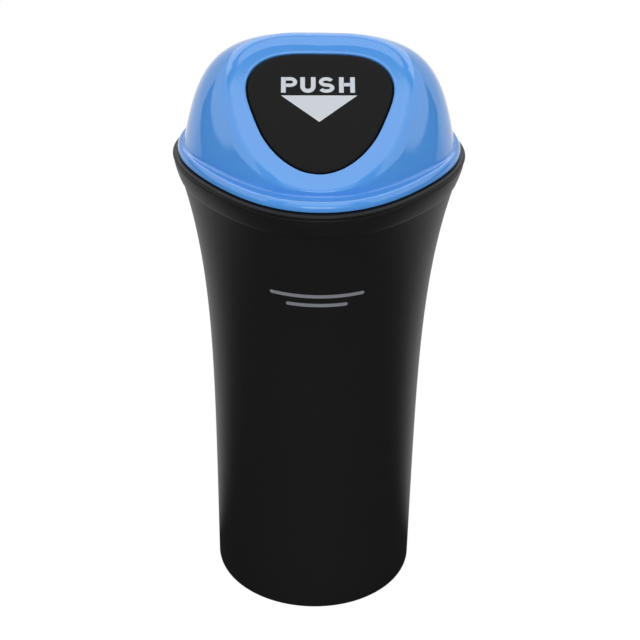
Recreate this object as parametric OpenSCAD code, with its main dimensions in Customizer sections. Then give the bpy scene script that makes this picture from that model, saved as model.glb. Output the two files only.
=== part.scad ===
// Cup-holder litter bin for a car: a round foot that flares into a four-cornered mouth,
// closed by a pull-off domed lid with a sprung push flap in its slanted face.
// Origin: centre of the foot on the floor. +Z up, the flap faces -Y. Millimetres.

/* [Bin body] */
// Radius of the round foot
base_r = 32.5; // [29:0.5:36]
// Height of the mouth above the floor
mouth_z = 150; // [130:1:180]
// Mean outside radius of the mouth's collar
mouth_r = 44.2; // [43.2:0.1:45.6]
// Moulding draft of the straight wall, from foot to mouth
draft = 0.8; // [0:0.1:1.5]
// How far past the mouth's collar the wall's own flare would reach at that height
flare_over = 0.2; // [0:0.1:0.8]
// Power of the flare: a high one keeps the wall straight for longer
flare_power = 4.68; // [4:0.01:6]
// Share by which the mouth is drawn out to the front and the back
mouth_long = 0.0435; // [0:0.0005:0.05]
// Share by which the mouth's four corners stand out from its mean radius
mouth_square = 0.0345; // [0:0.0005:0.04]
// Thickness of the wall
wall = 1.8; // [1.2:0.1:2.4]
// Thickness of the floor
floor_t = 2; // [1.2:0.1:4]
// Height of the collar at the mouth
collar_h = 8.1; // [6:0.1:10]
// Power of the collar's curve: 1 is straight, more turns it upright towards the lip
collar_power = 1.4; // [1:0.1:2.4]
// How far the collar stands out from the wall below it
collar_step = 0.35; // [0.1:0.05:0.6]
// Width of the lip, from the inside of the mouth to the collar
lip_w = 2.4; // [2:0.1:3]
// Height of the rolled lip on top of the collar
lip_h = 1.4; // [1:0.1:2.5]
// How far the rolled lip stands out from the collar
lip_out = 0.25; // [0:0.05:0.6]
// Height of the foot ring under the floor
foot_h = 1.2; // [0.6:0.1:2]
// Width of the foot ring
foot_w = 2.6; // [2:0.1:4]

/* [Lid] */
// How far the lid's flange stays behind the collar
flange_back = 1.3; // [0.8:0.1:1.8]
// Height of the flange band
flange_h = 2.8; // [2:0.1:4]
// Rounding of the flange's top edge, measured inward
flange_round = 1.3; // [0.6:0.1:1.6]
// Width of the ledge round the foot of the dome
ledge_w = 1.9; // [1.7:0.1:2.4]
// How much wider the ledge is at the front
ledge_front = 2.4; // [0:0.1:3]
// Height that the dome would have with no slanted face
dome_h = 33.2; // [31:0.1:36]
// Power of the dome's side curve: 2 is an ellipse, more is squarer
dome_power = 2.93; // [2.6:0.01:3.6]
// How far the dome's wall leans in over its height
dome_lean = 6.9; // [5:0.1:8]
// How far the dome leans forward over its height
dome_forward = 9.1; // [8:0.1:11]
// Share by which the dome turns three-cornered with its height
dome_corner = 0.0825; // [0.06:0.0005:0.1]
// Further share of that, growing with the square of the height
dome_corner_2 = 0.119; // [0.1:0.001:0.14]
// Thickness of the lid's wall
lid_wall = 1.8; // [1.4:0.1:2.2]
// Depth of the skirt that plugs into the mouth
skirt_h = 7; // [4:0.1:12]
// Thickness of the skirt
skirt_t = 1.6; // [1.2:0.1:1.8]
// Gap between the skirt and the inside of the mouth
skirt_gap = 0.4; // [0.2:0.05:0.6]
// Gap between the flange and the body's lip
seat_gap = 0.3; // [0.1:0.05:0.5]

/* [Slanted face] */
// Tilt of the slanted face from level
tilt = 34.3; // [30:0.1:38]
// Height of the slanted face above the flange, at the front of the flap
face_rise = 3.3; // [2.6:0.1:5]
// Distance of that point in front of the axis, as a share of the flange's mean radius
face_front_share = 0.956; // [0.94:0.001:0.97]
// Length of the rounding along each side of the face's edge
edge_round = 3; // [1:0.1:3.6]

/* [Push flap] */
// Mean radius of the flap's rounded triangle, as a share of the flange's
flap_share = 0.474; // [0.45:0.001:0.49]
// Distance of the flap's centre up the slanted face, as a share of the flange's mean radius
flap_place = 0.613; // [0.6:0.001:0.63]
// Corner share of the flap's outline
flap_lobe = 0.102; // [0.06:0.002:0.12]
// Fourth harmonic of the flap's outline, which flattens its top edge
flap_lobe_4 = -0.021; // [-0.03:0.001:0]
// Second harmonic of the corner share
flap_lobe_6 = 0.01; // [0:0.001:0.015]
// Gap between the flap and the window's edge
flap_gap = 0.4; // [0.25:0.05:0.6]
// Thickness of the flap's panel
flap_t = 1.6; // [1.2:0.1:2]
// Width of the flap's rebate behind the window's edge
rebate_w = 1.3; // [0.8:0.1:1.6]
// Thickness of that rebate
rebate_t = 1.2; // [0.8:0.1:1.6]
// Running gap between the rebate and the lid's inside
rebate_gap = 0.35; // [0.2:0.05:0.5]

/* [Hinge] */
// Radius of the hinge pin
pin_r = 1; // [0.8:0.05:1.2]
// Running clearance of the pin in the flap's knuckles
pin_clear = 0.05; // [0.03:0.01:0.08]
// Distance of the pin down the face from the window's top edge
pin_back = 2; // [1.6:0.1:2.6]
// Depth of the pin below the slanted face
pin_deep = 6.2; // [6:0.1:7]
// Radius of the knuckles and lugs
knuckle_r = 2.3; // [2:0.1:2.4]
// Width of each knuckle
knuckle_w = 2.6; // [2:0.1:3]
// Width of each lug
lug_w = 2; // [1.6:0.1:2.4]
// Distance of each knuckle's centre from the middle
knuckle_x = 10.6; // [9.5:0.1:11]
// Side gap between knuckle and lug
side_gap = 0.5; // [0.3:0.05:0.7]
// Radius of the return spring's wire
wire_r = 0.3; // [0.2:0.05:0.4]
// Mean radius of the return spring's coil
coil_r = 1.9; // [1.8:0.05:2]
// Turns of the return spring
coil_turns = 6; // [4:1:8]
// Distance between turns
coil_pitch = 0.9; // [0.85:0.05:1]

/* [Hidden] */

// Points around every moulded outline
around = 68;
angles = [for (i = [0:around - 1]) 360 * i / around];
// The wall's flare, the lid's flange, and what the slanted face takes its size from
flare = mouth_r - base_r - draft + flare_over;
flange_r = mouth_r - flange_back;
face_front = face_front_share * flange_r;
flap_r = flap_share * flange_r;
flap_centre = flap_place * flange_r;
// Flange underside, and the level of the ledge that the dome stands on
flange_z = mouth_z + 0.2 + seat_gap;
ledge_z = flange_z + flange_h;
// A point of the slanted face: its distance from the axis and its height
face_y = -face_front;
face_z = ledge_z + face_rise;
// Small roundings of the mouldings
soft = 0.6;
// Steps of each rounding and of the halving search
round_steps = 5;
halvings = 26;
mouth_in_r = mouth_r - lip_w;
// The rounding of the flange leaves a flat ledge before the dome
bead_w = min(flange_round, ledge_w - soft);
bead_h = 1.5 * bead_w;
// Pin in the slanted face's own axes: distance up the face and height over it
window_top = flap_centre + flap_reach(180);
pin_s = window_top - pin_back;
pin_n = -pin_deep;
lug_x = knuckle_x + knuckle_w / 2 + side_gap + lug_w / 2;
pin_end = 0.4;
eps = 0.01;

// Outline of the mouth: 1 is its mean radius, angle 0 is the front, share 0 is round and 1 is the mouth's own
function lobes(a, share = 1) = 1 + share * (mouth_long * cos(2 * a) + mouth_square * cos(4 * a));
// A point at an angle from the front, a radius and a height
function at(a, r, z) = [r * sin(a), -r * cos(a), z];
// Halfway and general mixing of two points
function mix(p, q, t) = p * (1 - t) + q * t;
// Bezier curve of three points
function bend(p, q, r, t) = mix(mix(p, q, t), mix(q, r, t), t);
function flip(list) = [for (i = [len(list) - 1:-1:0]) list[i]];

// Joins rings of equal count into a closed skin of triangles
function side_faces(rings, n, closed) = [
    for (k = [0:rings - (closed ? 1 : 2)]) for (i = [0:n - 1])
        let (m = (k + 1) % rings, j = (i + 1) % n)
        each [[k * n + i, m * n + i, m * n + j], [k * n + i, m * n + j, k * n + j]]
];
module skin(rings, closed) {
    n = len(rings[0]);
    caps = closed ? [] : [[for (i = [0:n - 1]) i], [for (i = [n - 1:-1:0]) (len(rings) - 1) * n + i]];
    polyhedron(points = [for (r = rings) each r], faces = concat(side_faces(len(rings), n, closed), caps));
}

// Bin body: mean wall radius at a height, and the share of the mouth's corners there
function wall_r(z) = base_r + draft * z / mouth_z + flare * pow(z / mouth_z, flare_power);
function corner_share(z) = pow(min(z / mouth_z, 1), 3);
function body_ring(r, z) = [for (a = angles)
    at(a, r * lobes(a, corner_share(z)), z)];
collar_z = mouth_z - collar_h;
bead_z = mouth_z + 0.2 - lip_h;
// The collar leaves the wall's curve at a step and flares on to the bead
function collar_r(z) = mouth_r - (mouth_r - wall_r(collar_z) - collar_step)
    * pow(1 - (z - collar_z) / (bead_z - collar_z), collar_power);
// Inside of the mouth, upright near the lip, which the lid's skirt follows at a gap
function bore_r(z) = z < collar_z ? wall_r(z) - wall : min(mouth_in_r, collar_r(min(z, bead_z)) - wall);
wall_steps = 13;
// Heights of the wall's rings, closer together towards the mouth
wall_heights = [for (i = [1:wall_steps]) foot_h + (collar_z - foot_h) * (1 - pow(1 - i / wall_steps, 1.7))];
outer_path = concat(
    [[base_r - foot_w - soft, foot_h], [base_r - foot_w, 0], [base_r - foot_h, 0]],
    [for (i = [1:3]) [base_r - foot_h * (1 - sin(30 * i)), foot_h * (1 - cos(30 * i))]],
    [for (z = wall_heights) [wall_r(z), z]],
    [for (t = [0, 0.3, 0.65, 1]) let (z = mix(collar_z + collar_step, bead_z, t)) [collar_r(z), z]],
    [for (i = [0:4]) [mouth_r - lip_h / 2 + (lip_h / 2 + lip_out) * sin(36 * i + 18),
        bead_z + lip_h * (1 - cos(36 * i + 18)) / 2]]
);
inner_path = concat(
    [[mouth_in_r + soft / 2, mouth_z + 0.2], [mouth_in_r, mouth_z + 0.2 - soft / 2]],
    [for (t = [0.85, 0.5, 0]) let (z = mix(collar_z, bead_z, t)) [bore_r(z), z]],
    [for (z = flip([for (i = [1:2:wall_steps - 2]) wall_heights[i]])) [wall_r(z) - wall, z]],
    [[wall_r(foot_h) - wall, foot_h + floor_t + 3 * soft],
     [wall_r(foot_h) - wall - soft, foot_h + floor_t + soft],
     [wall_r(foot_h) - wall - 3 * soft, foot_h + floor_t]]
);

module bin_body() {
    color([0.12, 0.12, 0.12])
    skin([for (p = concat(outer_path, inner_path)) body_ring(p[0], p[1])], false);
}

// Dome: a point at angle a and share v of its full height, set in by a wall
function dome_foot(a, v) = flange_r * (lobes(a) + (dome_corner + dome_corner_2 * v) * v * cos(3 * a))
    - ledge_w - ledge_front * pow(max(cos(a), 0), 2);
function dome_point(a, v, in) = [0, -dome_forward * v, 0] + at(a,
    (dome_foot(a, v) - in) * pow(1 - pow(v, dome_power), 1 / dome_power) - dome_lean * v,
    ledge_z + (dome_h - in) * v);
// Height of the slanted face, set in by a wall, over a point
function over_face(p, in) = p[2] - (face_z + (p[1] - face_y) * tan(tilt) - in / cos(tilt));
// Share of height at which the dome meets the slanted face
function meet(a, in, lo = 0, hi = 1, k = halvings) = k <= 0 ? lo
    : let (m = (lo + hi) / 2) over_face(dome_point(a, m, in), in) < 0
        ? meet(a, in, m, hi, k - 1) : meet(a, in, lo, m, k - 1);
// Share of height on the dome that lies a given distance from a corner point
function before(a, in, corner, gap, lo, hi, k = halvings) = k <= 0 ? lo
    : let (m = (lo + hi) / 2) norm(dome_point(a, m, in) - corner) > gap
        ? before(a, in, corner, gap, m, hi, k - 1) : before(a, in, corner, gap, lo, m, k - 1);
// Slanted face's own axes: x across, s up the face, n out of it
function on_face(x, s, n) =
    [x, face_y + s * cos(tilt) - n * sin(tilt), face_z + s * sin(tilt) + n * cos(tilt)];
function up_face(p) = (p[1] - face_y) * cos(tilt) + (p[2] - face_z) * sin(tilt);
// Rounded triangle of the window, as a radius about the flap's centre
function flap_reach(t) = flap_gap + flap_r
    * (1 + flap_lobe * cos(3 * t) + flap_lobe_4 * cos(4 * t) + flap_lobe_6 * cos(6 * t));
function window_point(t, n) = on_face(flap_reach(t) * sin(t), flap_centre - flap_reach(t) * cos(t), n);
// A point of the skirt at an angle and a height, set in by a thickness
skirt_z = flange_z - skirt_h;
function skirt_point(a, in, z) = at(a, (bore_r(z) - skirt_gap - in) * lobes(a, corner_share(z)), z);
dome_steps = 7;
inner_steps = 5;
// Spaces the rings of the dome closer together towards its top
function easing(t) = 1 - pow(1 - t, 1.6);

// One section of the lid through angle a, from the skirt's foot over the dome to the window and back
function lid_section(a) =
    let (
        flange = lobes(a),
        foot = dome_point(a, 0, 0),
        foot_r = norm([foot[0], foot[1]]),
        v_meet = meet(a, 0),
        corner = dome_point(a, v_meet, 0),
        v_low = soft / dome_h,
        wall_round = min(edge_round, 0.7 * norm(corner - dome_point(a, v_low, 0))),
        v_round = before(a, 0, corner, wall_round, v_low, v_meet),
        t = atan2(corner[0], flap_centre - up_face(corner)),
        rim = window_point(t, 0),
        inward = (rim - corner) * min(edge_round / norm(rim - corner), 0.8),
        v_in = meet(a, lid_wall)
    )
    concat(
        [skirt_point(a, soft, skirt_z),
         skirt_point(a, 0, skirt_z + 2 * soft),
         skirt_point(a, 0, (skirt_z + flange_z) / 2),
         skirt_point(a, 0, flange_z),
         at(a, (flange_r - soft / 2) * flange, flange_z),
         at(a, flange_r * flange, flange_z + soft / 2)],
        [for (u = [0, 30, 60, 90])
            at(a, (flange_r - bead_w * (1 - cos(u))) * flange, ledge_z - bead_h * (1 - sin(u)))],
        [at(a, foot_r + 0.9 * soft, ledge_z),
         at(a, foot_r + 0.3 * soft, ledge_z + 0.3 * soft)],
        [for (i = [0:dome_steps]) dome_point(a, v_low + (v_round - v_low) * easing(i / dome_steps), 0)],
        [for (i = [1:round_steps])
            bend(dome_point(a, v_round, 0), corner, corner + inward, i / round_steps)],
        [rim, window_point(t, -lid_wall)],
        [for (i = [inner_steps:-1:0]) dome_point(a, v_in * easing(i / inner_steps), lid_wall)],
        [at(a, foot_r - lid_wall, ledge_z - lid_wall),
         skirt_point(a, skirt_t, ledge_z - lid_wall),
         skirt_point(a, skirt_t, skirt_z)]
    );

// Puts flat work drawn in the slanted face's axes into place
module slanted() {
    translate([0, face_y, face_z]) rotate([tilt, 0, 0]) children();
}
// Extrudes a side view, drawn as distance up the face against height over it, across x
module across(x, w) {
    translate([x + w / 2, 0, 0]) rotate([90, 0, -90]) mirror([1, 0, 0]) linear_extrude(w) children();
}

lug_back = window_top + 2.8;
module lug_view() {
    translate([pin_s, pin_n]) circle(r = knuckle_r, $fn = 48);
    polygon([[pin_s, pin_n - knuckle_r], [pin_s + 1.6, pin_n - knuckle_r], [lug_back, pin_n + 1],
        [lug_back, -lid_wall + 0.4], [window_top + 0.5, -lid_wall + 0.4],
        [window_top + 0.5, pin_n + knuckle_r], [pin_s, pin_n + knuckle_r]]);
}

module lid_shell() {
    sections = [for (a = angles) lid_section(a)];
    rings = [for (k = [0:len(sections[0]) - 1]) [for (s = sections) s[k]]];
    color([0.42, 0.64, 0.9])
    difference() {
        union() {
            skin(rings, true);
            slanted() for (side = [-1, 1]) across(side * lug_x, lug_w) lug_view();
        }
        slanted() translate([-lug_x - lug_w, pin_s, pin_n]) rotate([0, 90, 0])
            cylinder(r = pin_r + eps, h = 2 * (lug_x + lug_w), $fn = 48);
    }
}

// The flap's outline, drawn inside or outside the window's edge by a margin
module flap_outline(margin) {
    polygon([for (t = angles)
        [(flap_reach(t) + margin) * sin(t), flap_centre - (flap_reach(t) + margin) * cos(t)]]);
}

rebate_top = -lid_wall - rebate_gap;
flap_low = rebate_top - rebate_t;
flap_high = -0.1;
module push_flap() {
    color([0.14, 0.14, 0.15])
    slanted() difference() {
        union() {
            translate([0, 0, flap_low]) linear_extrude(flap_high - flap_low) flap_outline(-flap_gap);
            translate([0, 0, flap_low]) linear_extrude(rebate_t) intersection() {
                flap_outline(rebate_w);
                translate([-2 * flap_r, -flap_r]) square([4 * flap_r, flap_r + pin_s - 3]);
            }
            for (side = [-1, 1]) across(side * knuckle_x, knuckle_w) {
                translate([pin_s, pin_n]) circle(r = knuckle_r, $fn = 48);
                translate([pin_s - knuckle_r, pin_n]) square([knuckle_r + 1.2, flap_low - pin_n + eps]);
            }
        }
        translate([0, 0, flap_low - 1]) linear_extrude(flap_high - flap_t - flap_low + 1) intersection() {
            flap_outline(-flap_gap - flap_t);
            translate([-2 * flap_r, -flap_r]) square([4 * flap_r, flap_r + pin_s - knuckle_r - flap_t]);
        }
        translate([-lug_x, pin_s, pin_n]) rotate([0, 90, 0])
            cylinder(r = pin_r + pin_clear, h = 2 * lug_x, $fn = 48);
    }
}

module hinge_pin() {
    half = lug_x + lug_w / 2 + pin_end;
    color([0.75, 0.76, 0.78])
    slanted() translate([-half, pin_s, pin_n]) rotate([0, 90, 0]) cylinder(r = pin_r, h = 2 * half, $fn = 48);
}

// Return spring: a coil about the pin with one leg under the flap and one under the lid
leg_front = 30;
leg_back = 60;
touch = 0.1;
per_turn = 10;
coil_len = coil_turns * coil_pitch;
// Angle round the pin at which each leg leaves the coil, from straight up the face
leave_front = 270 - leg_front;
leave_back = 270 + leg_back;
turned = 360 * coil_turns + leave_back - leave_front;
coil_count = round(turned * per_turn / 360);
// Length of a leg that rises at an angle from its tangent point to a ceiling
function leg_len(rise, ceiling) = (ceiling - wire_r - touch - pin_n + coil_r * cos(rise)) / sin(rise);
function coil_point(i) = let (a = leave_front + turned * i / coil_count)
    [-coil_len / 2 + coil_len * i / coil_count, pin_s + coil_r * cos(a), pin_n + coil_r * sin(a)];
front_foot = coil_point(0);
back_foot = coil_point(coil_count);
front_len = leg_len(leg_front, flap_high - flap_t);
back_len = leg_len(leg_back, -lid_wall);
wire_path = concat(
    [front_foot + front_len * [0, -cos(leg_front), sin(leg_front)]],
    [for (i = [0:coil_count]) coil_point(i)],
    [back_foot + back_len * [0, cos(leg_back), sin(leg_back)]]
);
wire_sides = 6;
// Direction of the wire at a point, and a ring about it; the pin's direction is never along the wire
function way(i) = let (p = wire_path[max(i - 1, 0)], q = wire_path[min(i + 1, len(wire_path) - 1)])
    (q - p) / norm(q - p);
function wire_ring(i) =
    let (d = way(i), side = cross(d, [1, 0, 0]) / norm(cross(d, [1, 0, 0])), up = cross(d, side))
    [for (k = [0:wire_sides - 1]) wire_path[i]
        + wire_r * (side * cos(360 * k / wire_sides) + up * sin(360 * k / wire_sides))];

module return_spring() {
    color([0.7, 0.71, 0.73])
    slanted() skin([for (i = [0:len(wire_path) - 1]) wire_ring(i)], false);
}

bin_body();
lid_shell();
push_flap();
hinge_pin();
return_spring();
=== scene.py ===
"""A cup-holder litter bin for a car, dressed for rendering: fine surfaces over the construction's solids, print,
finishes and studio.

Every piece is a surface of two parameters worked out in numpy from the same named sizes as the solids.
Lengths in the formulas are millimetres, and become metres when a mesh is made.
"""
import math

import bpy
import numpy as np
from mathutils import Matrix


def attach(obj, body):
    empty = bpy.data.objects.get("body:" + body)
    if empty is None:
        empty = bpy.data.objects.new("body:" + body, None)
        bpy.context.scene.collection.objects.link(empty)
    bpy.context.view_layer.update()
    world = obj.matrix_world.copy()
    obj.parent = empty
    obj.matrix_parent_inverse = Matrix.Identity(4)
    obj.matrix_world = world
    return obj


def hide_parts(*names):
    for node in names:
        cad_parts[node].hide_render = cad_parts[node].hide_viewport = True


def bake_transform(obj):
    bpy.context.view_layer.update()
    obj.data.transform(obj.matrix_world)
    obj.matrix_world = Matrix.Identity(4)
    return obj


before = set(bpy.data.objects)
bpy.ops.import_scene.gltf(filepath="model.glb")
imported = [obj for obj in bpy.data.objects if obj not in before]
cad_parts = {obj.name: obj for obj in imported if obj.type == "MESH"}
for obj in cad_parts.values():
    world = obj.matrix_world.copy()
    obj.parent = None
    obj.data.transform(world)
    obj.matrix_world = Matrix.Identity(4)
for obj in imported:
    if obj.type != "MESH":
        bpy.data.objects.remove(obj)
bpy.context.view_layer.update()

bl_info = {
    "name": "Car litter bin",
    "version": (1, 0, 0),
    "blender": (4, 5, 0),
    "location": "3D View > Sidebar > Litter bin",
    "description": "Builds a flared litter bin with a domed lid and a push flap",
    "category": "Add Mesh",
}

MM = 0.001
TURN = 2 * math.pi
# Steps round a piece: the glossy lid has more of them
AROUND, AROUND_LID = 288, 360
# Height of the lip's top over the mouth's own height
LIP_RISE = 0.2
# How far the prints lie over the flap and over the wall
FLAP_PRINT_LIFT, WALL_PRINT_LIFT = 0.03, 0.04
# The photograph's width, its camera's focal length and the column that its axis meets, all in pixels
PHOTO_WIDTH, PHOTO_FOCAL, PHOTO_AXIS_X = 640.0, 1561.42, 316.64
SENSOR_WIDTH = 36.0


# ---------------- shapes

def outline(size, a, share=1.0):
    """Mouth outline as a share of its mean radius: 1 + share x (long cos 2a + square cos 4a), angle 0 at the front."""
    return 1 + share * (size.mouth_long * np.cos(2 * a) + size.mouth_square * np.cos(4 * a))


def outline_share(size, z):
    """How much of the mouth's outline a height has: the cube of its share of the mouth's height, and 1 above that."""
    return np.minimum(z / size.mouth_z, 1) ** 3


def at(a, r, z):
    """Point at angle a from the front, radius r and height z."""
    a, r, z = np.broadcast_arrays(a, r, z)
    return np.stack([r * np.sin(a), -r * np.cos(a), z], -1)


def bend(k, p, q, r):
    """A Bezier curve at k from p to r, drawn towards q: (1 - k) squared p + 2 k (1 - k) q + k squared r."""
    return (1 - k) ** 2 * p + 2 * k * (1 - k) * q + k * k * r


def arc(x, y, rx, ry, first, last, steps):
    """Points of an elliptical arc about (x, y) with radii rx and ry, from one angle to another in degrees."""
    t = np.radians(np.linspace(first, last, steps))
    return np.stack([x + rx * np.cos(t), y + ry * np.sin(t)], -1)


def crowded(k, power=1.6):
    """Sets shares from 0 to 1 closer together towards 1."""
    return 1 - (1 - k) ** power


def fillet(p, q, r, reach, steps):
    """Rounds the corner q of a section p-q-r: a Bezier curve from reach before q to reach after it."""
    p, q, r = (np.asarray(v, float) for v in (p, q, r))
    before = q + (p - q) * min(reach / np.linalg.norm(p - q), 0.5)
    after = q + (r - q) * min(reach / np.linalg.norm(r - q), 0.5)
    return bend(np.linspace(0, 1, steps + 1)[:, None], before, q, after)


def section(points, steps=6):
    """A section from corner points (r, z, reach): each corner is rounded over its reach, 0 keeps it sharp."""
    out = []
    for k, (r, z, reach) in enumerate(points):
        if reach > 0 and 0 < k < len(points) - 1:
            out.append(fillet(points[k - 1][:2], (r, z), points[k + 1][:2], reach, steps))
        else:
            out.append(np.array([[r, z]], float))
    return np.vstack(out)


def grid_faces(rows, columns, wrap_rows=False, wrap_columns=True):
    """Quads of a grid of rows by columns, each wrapped round or left open."""
    i = np.arange(rows if wrap_rows else rows - 1)[:, None]
    j = np.arange(columns if wrap_columns else columns - 1)[None, :]
    a = i * columns + j
    b = ((i + 1) % rows) * columns + j
    c = ((i + 1) % rows) * columns + (j + 1) % columns
    d = i * columns + (j + 1) % columns
    return np.stack(np.broadcast_arrays(a, b, c, d), -1).reshape(-1, 4)


def new_object(name, data):
    """Makes an object and links it to the scene."""
    made = bpy.data.objects.new(name, data)
    bpy.context.scene.collection.objects.link(made)
    return made


def new_piece(name, points, faces, body, material, smooth_angle=40):
    """Makes a mesh object from points in millimetres and faces, and lets it ride on its body, if one is given."""
    mesh = bpy.data.meshes.new(name)
    metres = np.asarray(points, float).reshape(-1, 3) * MM
    mesh.from_pydata(metres.tolist(), [], [list(map(int, f)) for f in faces])
    mesh.validate()
    mesh.polygons.foreach_set("use_smooth", np.ones(len(mesh.polygons), bool))
    mesh.set_sharp_from_angle(angle=math.radians(smooth_angle))
    mesh.update()
    piece = new_object(name, mesh)
    mesh.materials.append(material)
    if body:
        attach(piece, body)
    return piece


def joined(parts):
    """Puts several (points, faces) shells into one list of points and faces."""
    points, faces, start = [], [], 0
    for p, f in parts:
        p = np.asarray(p, float).reshape(-1, 3)
        points.append(p)
        faces += [[int(i) + start for i in face] for face in f]
        start += len(p)
    return np.vstack(points), faces


# ---------------- bin body

def wall_radius(size, z):
    """Mean radius of the wall: foot radius + draft x t + flare x t to a power, where t is the share of height."""
    t = z / size.mouth_z
    return size.base_r + size.draft * t + size.flare * t ** size.flare_power


def collar_levels(size):
    """Heights at which the collar and the lip's bead begin."""
    return size.mouth_z - size.collar_h, size.mouth_z + LIP_RISE - size.lip_h


def collar_radius(size, z):
    """Mean radius of the collar, which flares on to the bead: mouth radius - inset x height left to a power."""
    collar_z, bead_z = collar_levels(size)
    left = np.clip(1 - (z - collar_z) / (bead_z - collar_z), 0, 1)
    inset = size.mouth_r - wall_radius(size, collar_z) - size.collar_step
    return size.mouth_r - inset * left ** size.collar_power


def bore_radius(size, z):
    """Mean radius inside the mouth, which the lid's skirt follows at a gap."""
    collar_z, bead_z = collar_levels(size)
    if z < collar_z:
        return float(wall_radius(size, z)) - size.wall
    return min(size.mouth_r - size.lip_w, float(collar_radius(size, min(z, bead_z))) - size.wall)


def body_section(size):
    """Section of the bin from the middle of its underside, round the foot, up the wall, over the lip and down inside:
    lines, quarter circles and the wall's own radius, as rows of (r, z)."""
    foot_h, wall, lip_h, step = size.foot_h, size.wall, size.lip_h, size.collar_step
    collar_z, bead_z = collar_levels(size)
    lip_z = size.mouth_z + LIP_RISE
    foot_in = size.base_r - size.foot_w
    slope, groove, hollow = 0.6, 0.12, 1.8

    def rows(z, inset=0.0):
        """Points of the wall at heights z, set in from its outside."""
        return np.stack([wall_radius(size, z) - inset, z], -1)

    foot = section([(0, foot_h, 0), (foot_in - slope, foot_h, 0.5), (foot_in, 0, 0.3), (size.base_r - foot_h, 0, 0)], 5)
    t = np.radians(np.linspace(0, 90, 9)[1:])
    heel = np.stack([size.base_r - foot_h * (1 - np.sin(t)), foot_h * (1 - np.cos(t))], -1)
    # Rows lie closer together towards the collar, where the wall curves
    wall_rows = rows(foot_h + (collar_z - foot_h) * crowded(np.linspace(0, 1, 60)[1:], 1.4))
    # The collar stands proud of the wall: a short round step, then a curve that turns upright
    t = np.radians(np.linspace(0, 90, 7)[1:])
    ledge = np.stack([wall_radius(size, collar_z) + step * np.sin(t), collar_z + step * (1 - np.cos(t))], -1)
    z = np.linspace(collar_z + step, bead_z - 0.3, 18)[1:]
    collar_rows = np.stack([collar_radius(size, z), z], -1)
    # The lip is a bead with a fine groove under it
    under = np.array([[size.mouth_r - groove, bead_z - groove], [size.mouth_r - groove - 0.04, bead_z]])
    t = np.radians(np.linspace(8, 172, 15))
    bead = np.stack([size.mouth_r - lip_h / 2 + (lip_h / 2 + size.lip_out) * np.sin(t),
                     bead_z + lip_h * (1 - np.cos(t)) / 2], -1)
    z = np.linspace(size.mouth_z - 0.1, collar_z, 14)
    inside = size.mouth_r - size.lip_w
    rim = section([(size.mouth_r - lip_h / 2, lip_z, 0), (inside, lip_z, 0.3), (inside, z[0] - 0.1, 0)])
    bore = np.stack([[bore_radius(size, one) for one in z[1:]], z[1:]], -1)
    # Down inside, and over a hollow corner onto the floor
    floor_z = foot_h + size.floor_t
    inner_wall = rows(np.linspace(collar_z, floor_z + hollow, 30)[1:], wall)
    low = wall_radius(size, foot_h) - wall
    corner = section([(low, floor_z + hollow, 0), (low, floor_z, 1.7), (low - 4, floor_z, 0), (0, floor_z, 0)], 6)
    return np.vstack([foot, heel, wall_rows, ledge, collar_rows, under, bead, rim[1:-1], bore, inner_wall, corner[1:]])


def build_body(size, material):
    """Carries the body's section round: each radius is times the outline, by the share that its height has of it."""
    path = body_section(size)
    a = np.arange(AROUND) * TURN / AROUND
    share = outline_share(size, path[:, 1])
    rings = at(a[None, :], path[:, :1] * outline(size, a[None, :], share[:, None]), path[:, 1:2])
    inner = rings[1:-1]
    points = np.vstack([inner.reshape(-1, 3), [[0, 0, path[0, 1]], [0, 0, path[-1, 1]]]])
    faces = grid_faces(len(inner), AROUND)[:, ::-1].tolist()
    last = (len(inner) - 1) * AROUND
    bottom, top = len(points) - 2, len(points) - 1
    faces += [[bottom, (j + 1) % AROUND, j][::-1] for j in range(AROUND)]
    faces += [[top, last + j, last + (j + 1) % AROUND][::-1] for j in range(AROUND)]
    piece = new_piece("bin_moulding", points, faces, "bin", material)
    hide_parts("bin_body")


# ---------------- lid

def levels(size):
    """Heights of the flange's underside, of its ledge, and of the slanted face's reference point."""
    flange_z = size.mouth_z + LIP_RISE + size.seat_gap
    ledge_z = flange_z + size.flange_h
    return flange_z, ledge_z, ledge_z + size.face_rise


def on_face(size, x, s, n):
    """Point of the slanted face: x across, s up the face, n out of it."""
    _, _, face_z = levels(size)
    t = size.tilt
    x, s, n = np.broadcast_arrays(x, s, n)
    return np.stack([x, -size.face_front + s * math.cos(t) - n * math.sin(t),
                     face_z + s * math.sin(t) + n * math.cos(t)], -1)


def dome_point(size, a, v, inset=0.0):
    """Dome: its foot's outline turns three-cornered with height v, and is times a superellipse of v, less a lean that
    grows with v. The whole moves forward with v."""
    _, ledge_z, _ = levels(size)
    foot = size.flange_r * (outline(size, a) + (size.dome_corner + size.dome_corner_2 * v) * v * np.cos(3 * a))
    foot = foot - size.ledge_w - size.ledge_front * np.clip(np.cos(a), 0, 1) ** 2
    n = size.dome_power
    r = (foot - inset) * np.clip(1 - v ** n, 0, 1) ** (1 / n) - size.dome_lean * v
    p = at(a, r, ledge_z + (size.dome_h - inset) * v)
    p[..., 1] -= size.dome_forward * v
    return p


def over_face(size, p, inset=0.0):
    """Height of a point over the slanted face, which is set in by a wall."""
    _, _, face_z = levels(size)
    return p[..., 2] - (face_z + (p[..., 1] + size.face_front) * math.tan(size.tilt) - inset / math.cos(size.tilt))


def halve(test, lo, hi, steps=44):
    """Whole-array halving search: the last v, between lo and hi, for which test(v) still holds."""
    for _ in range(steps):
        mid = (lo + hi) / 2
        held = test(mid)
        lo, hi = np.where(held, mid, lo), np.where(held, hi, mid)
    return lo


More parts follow.
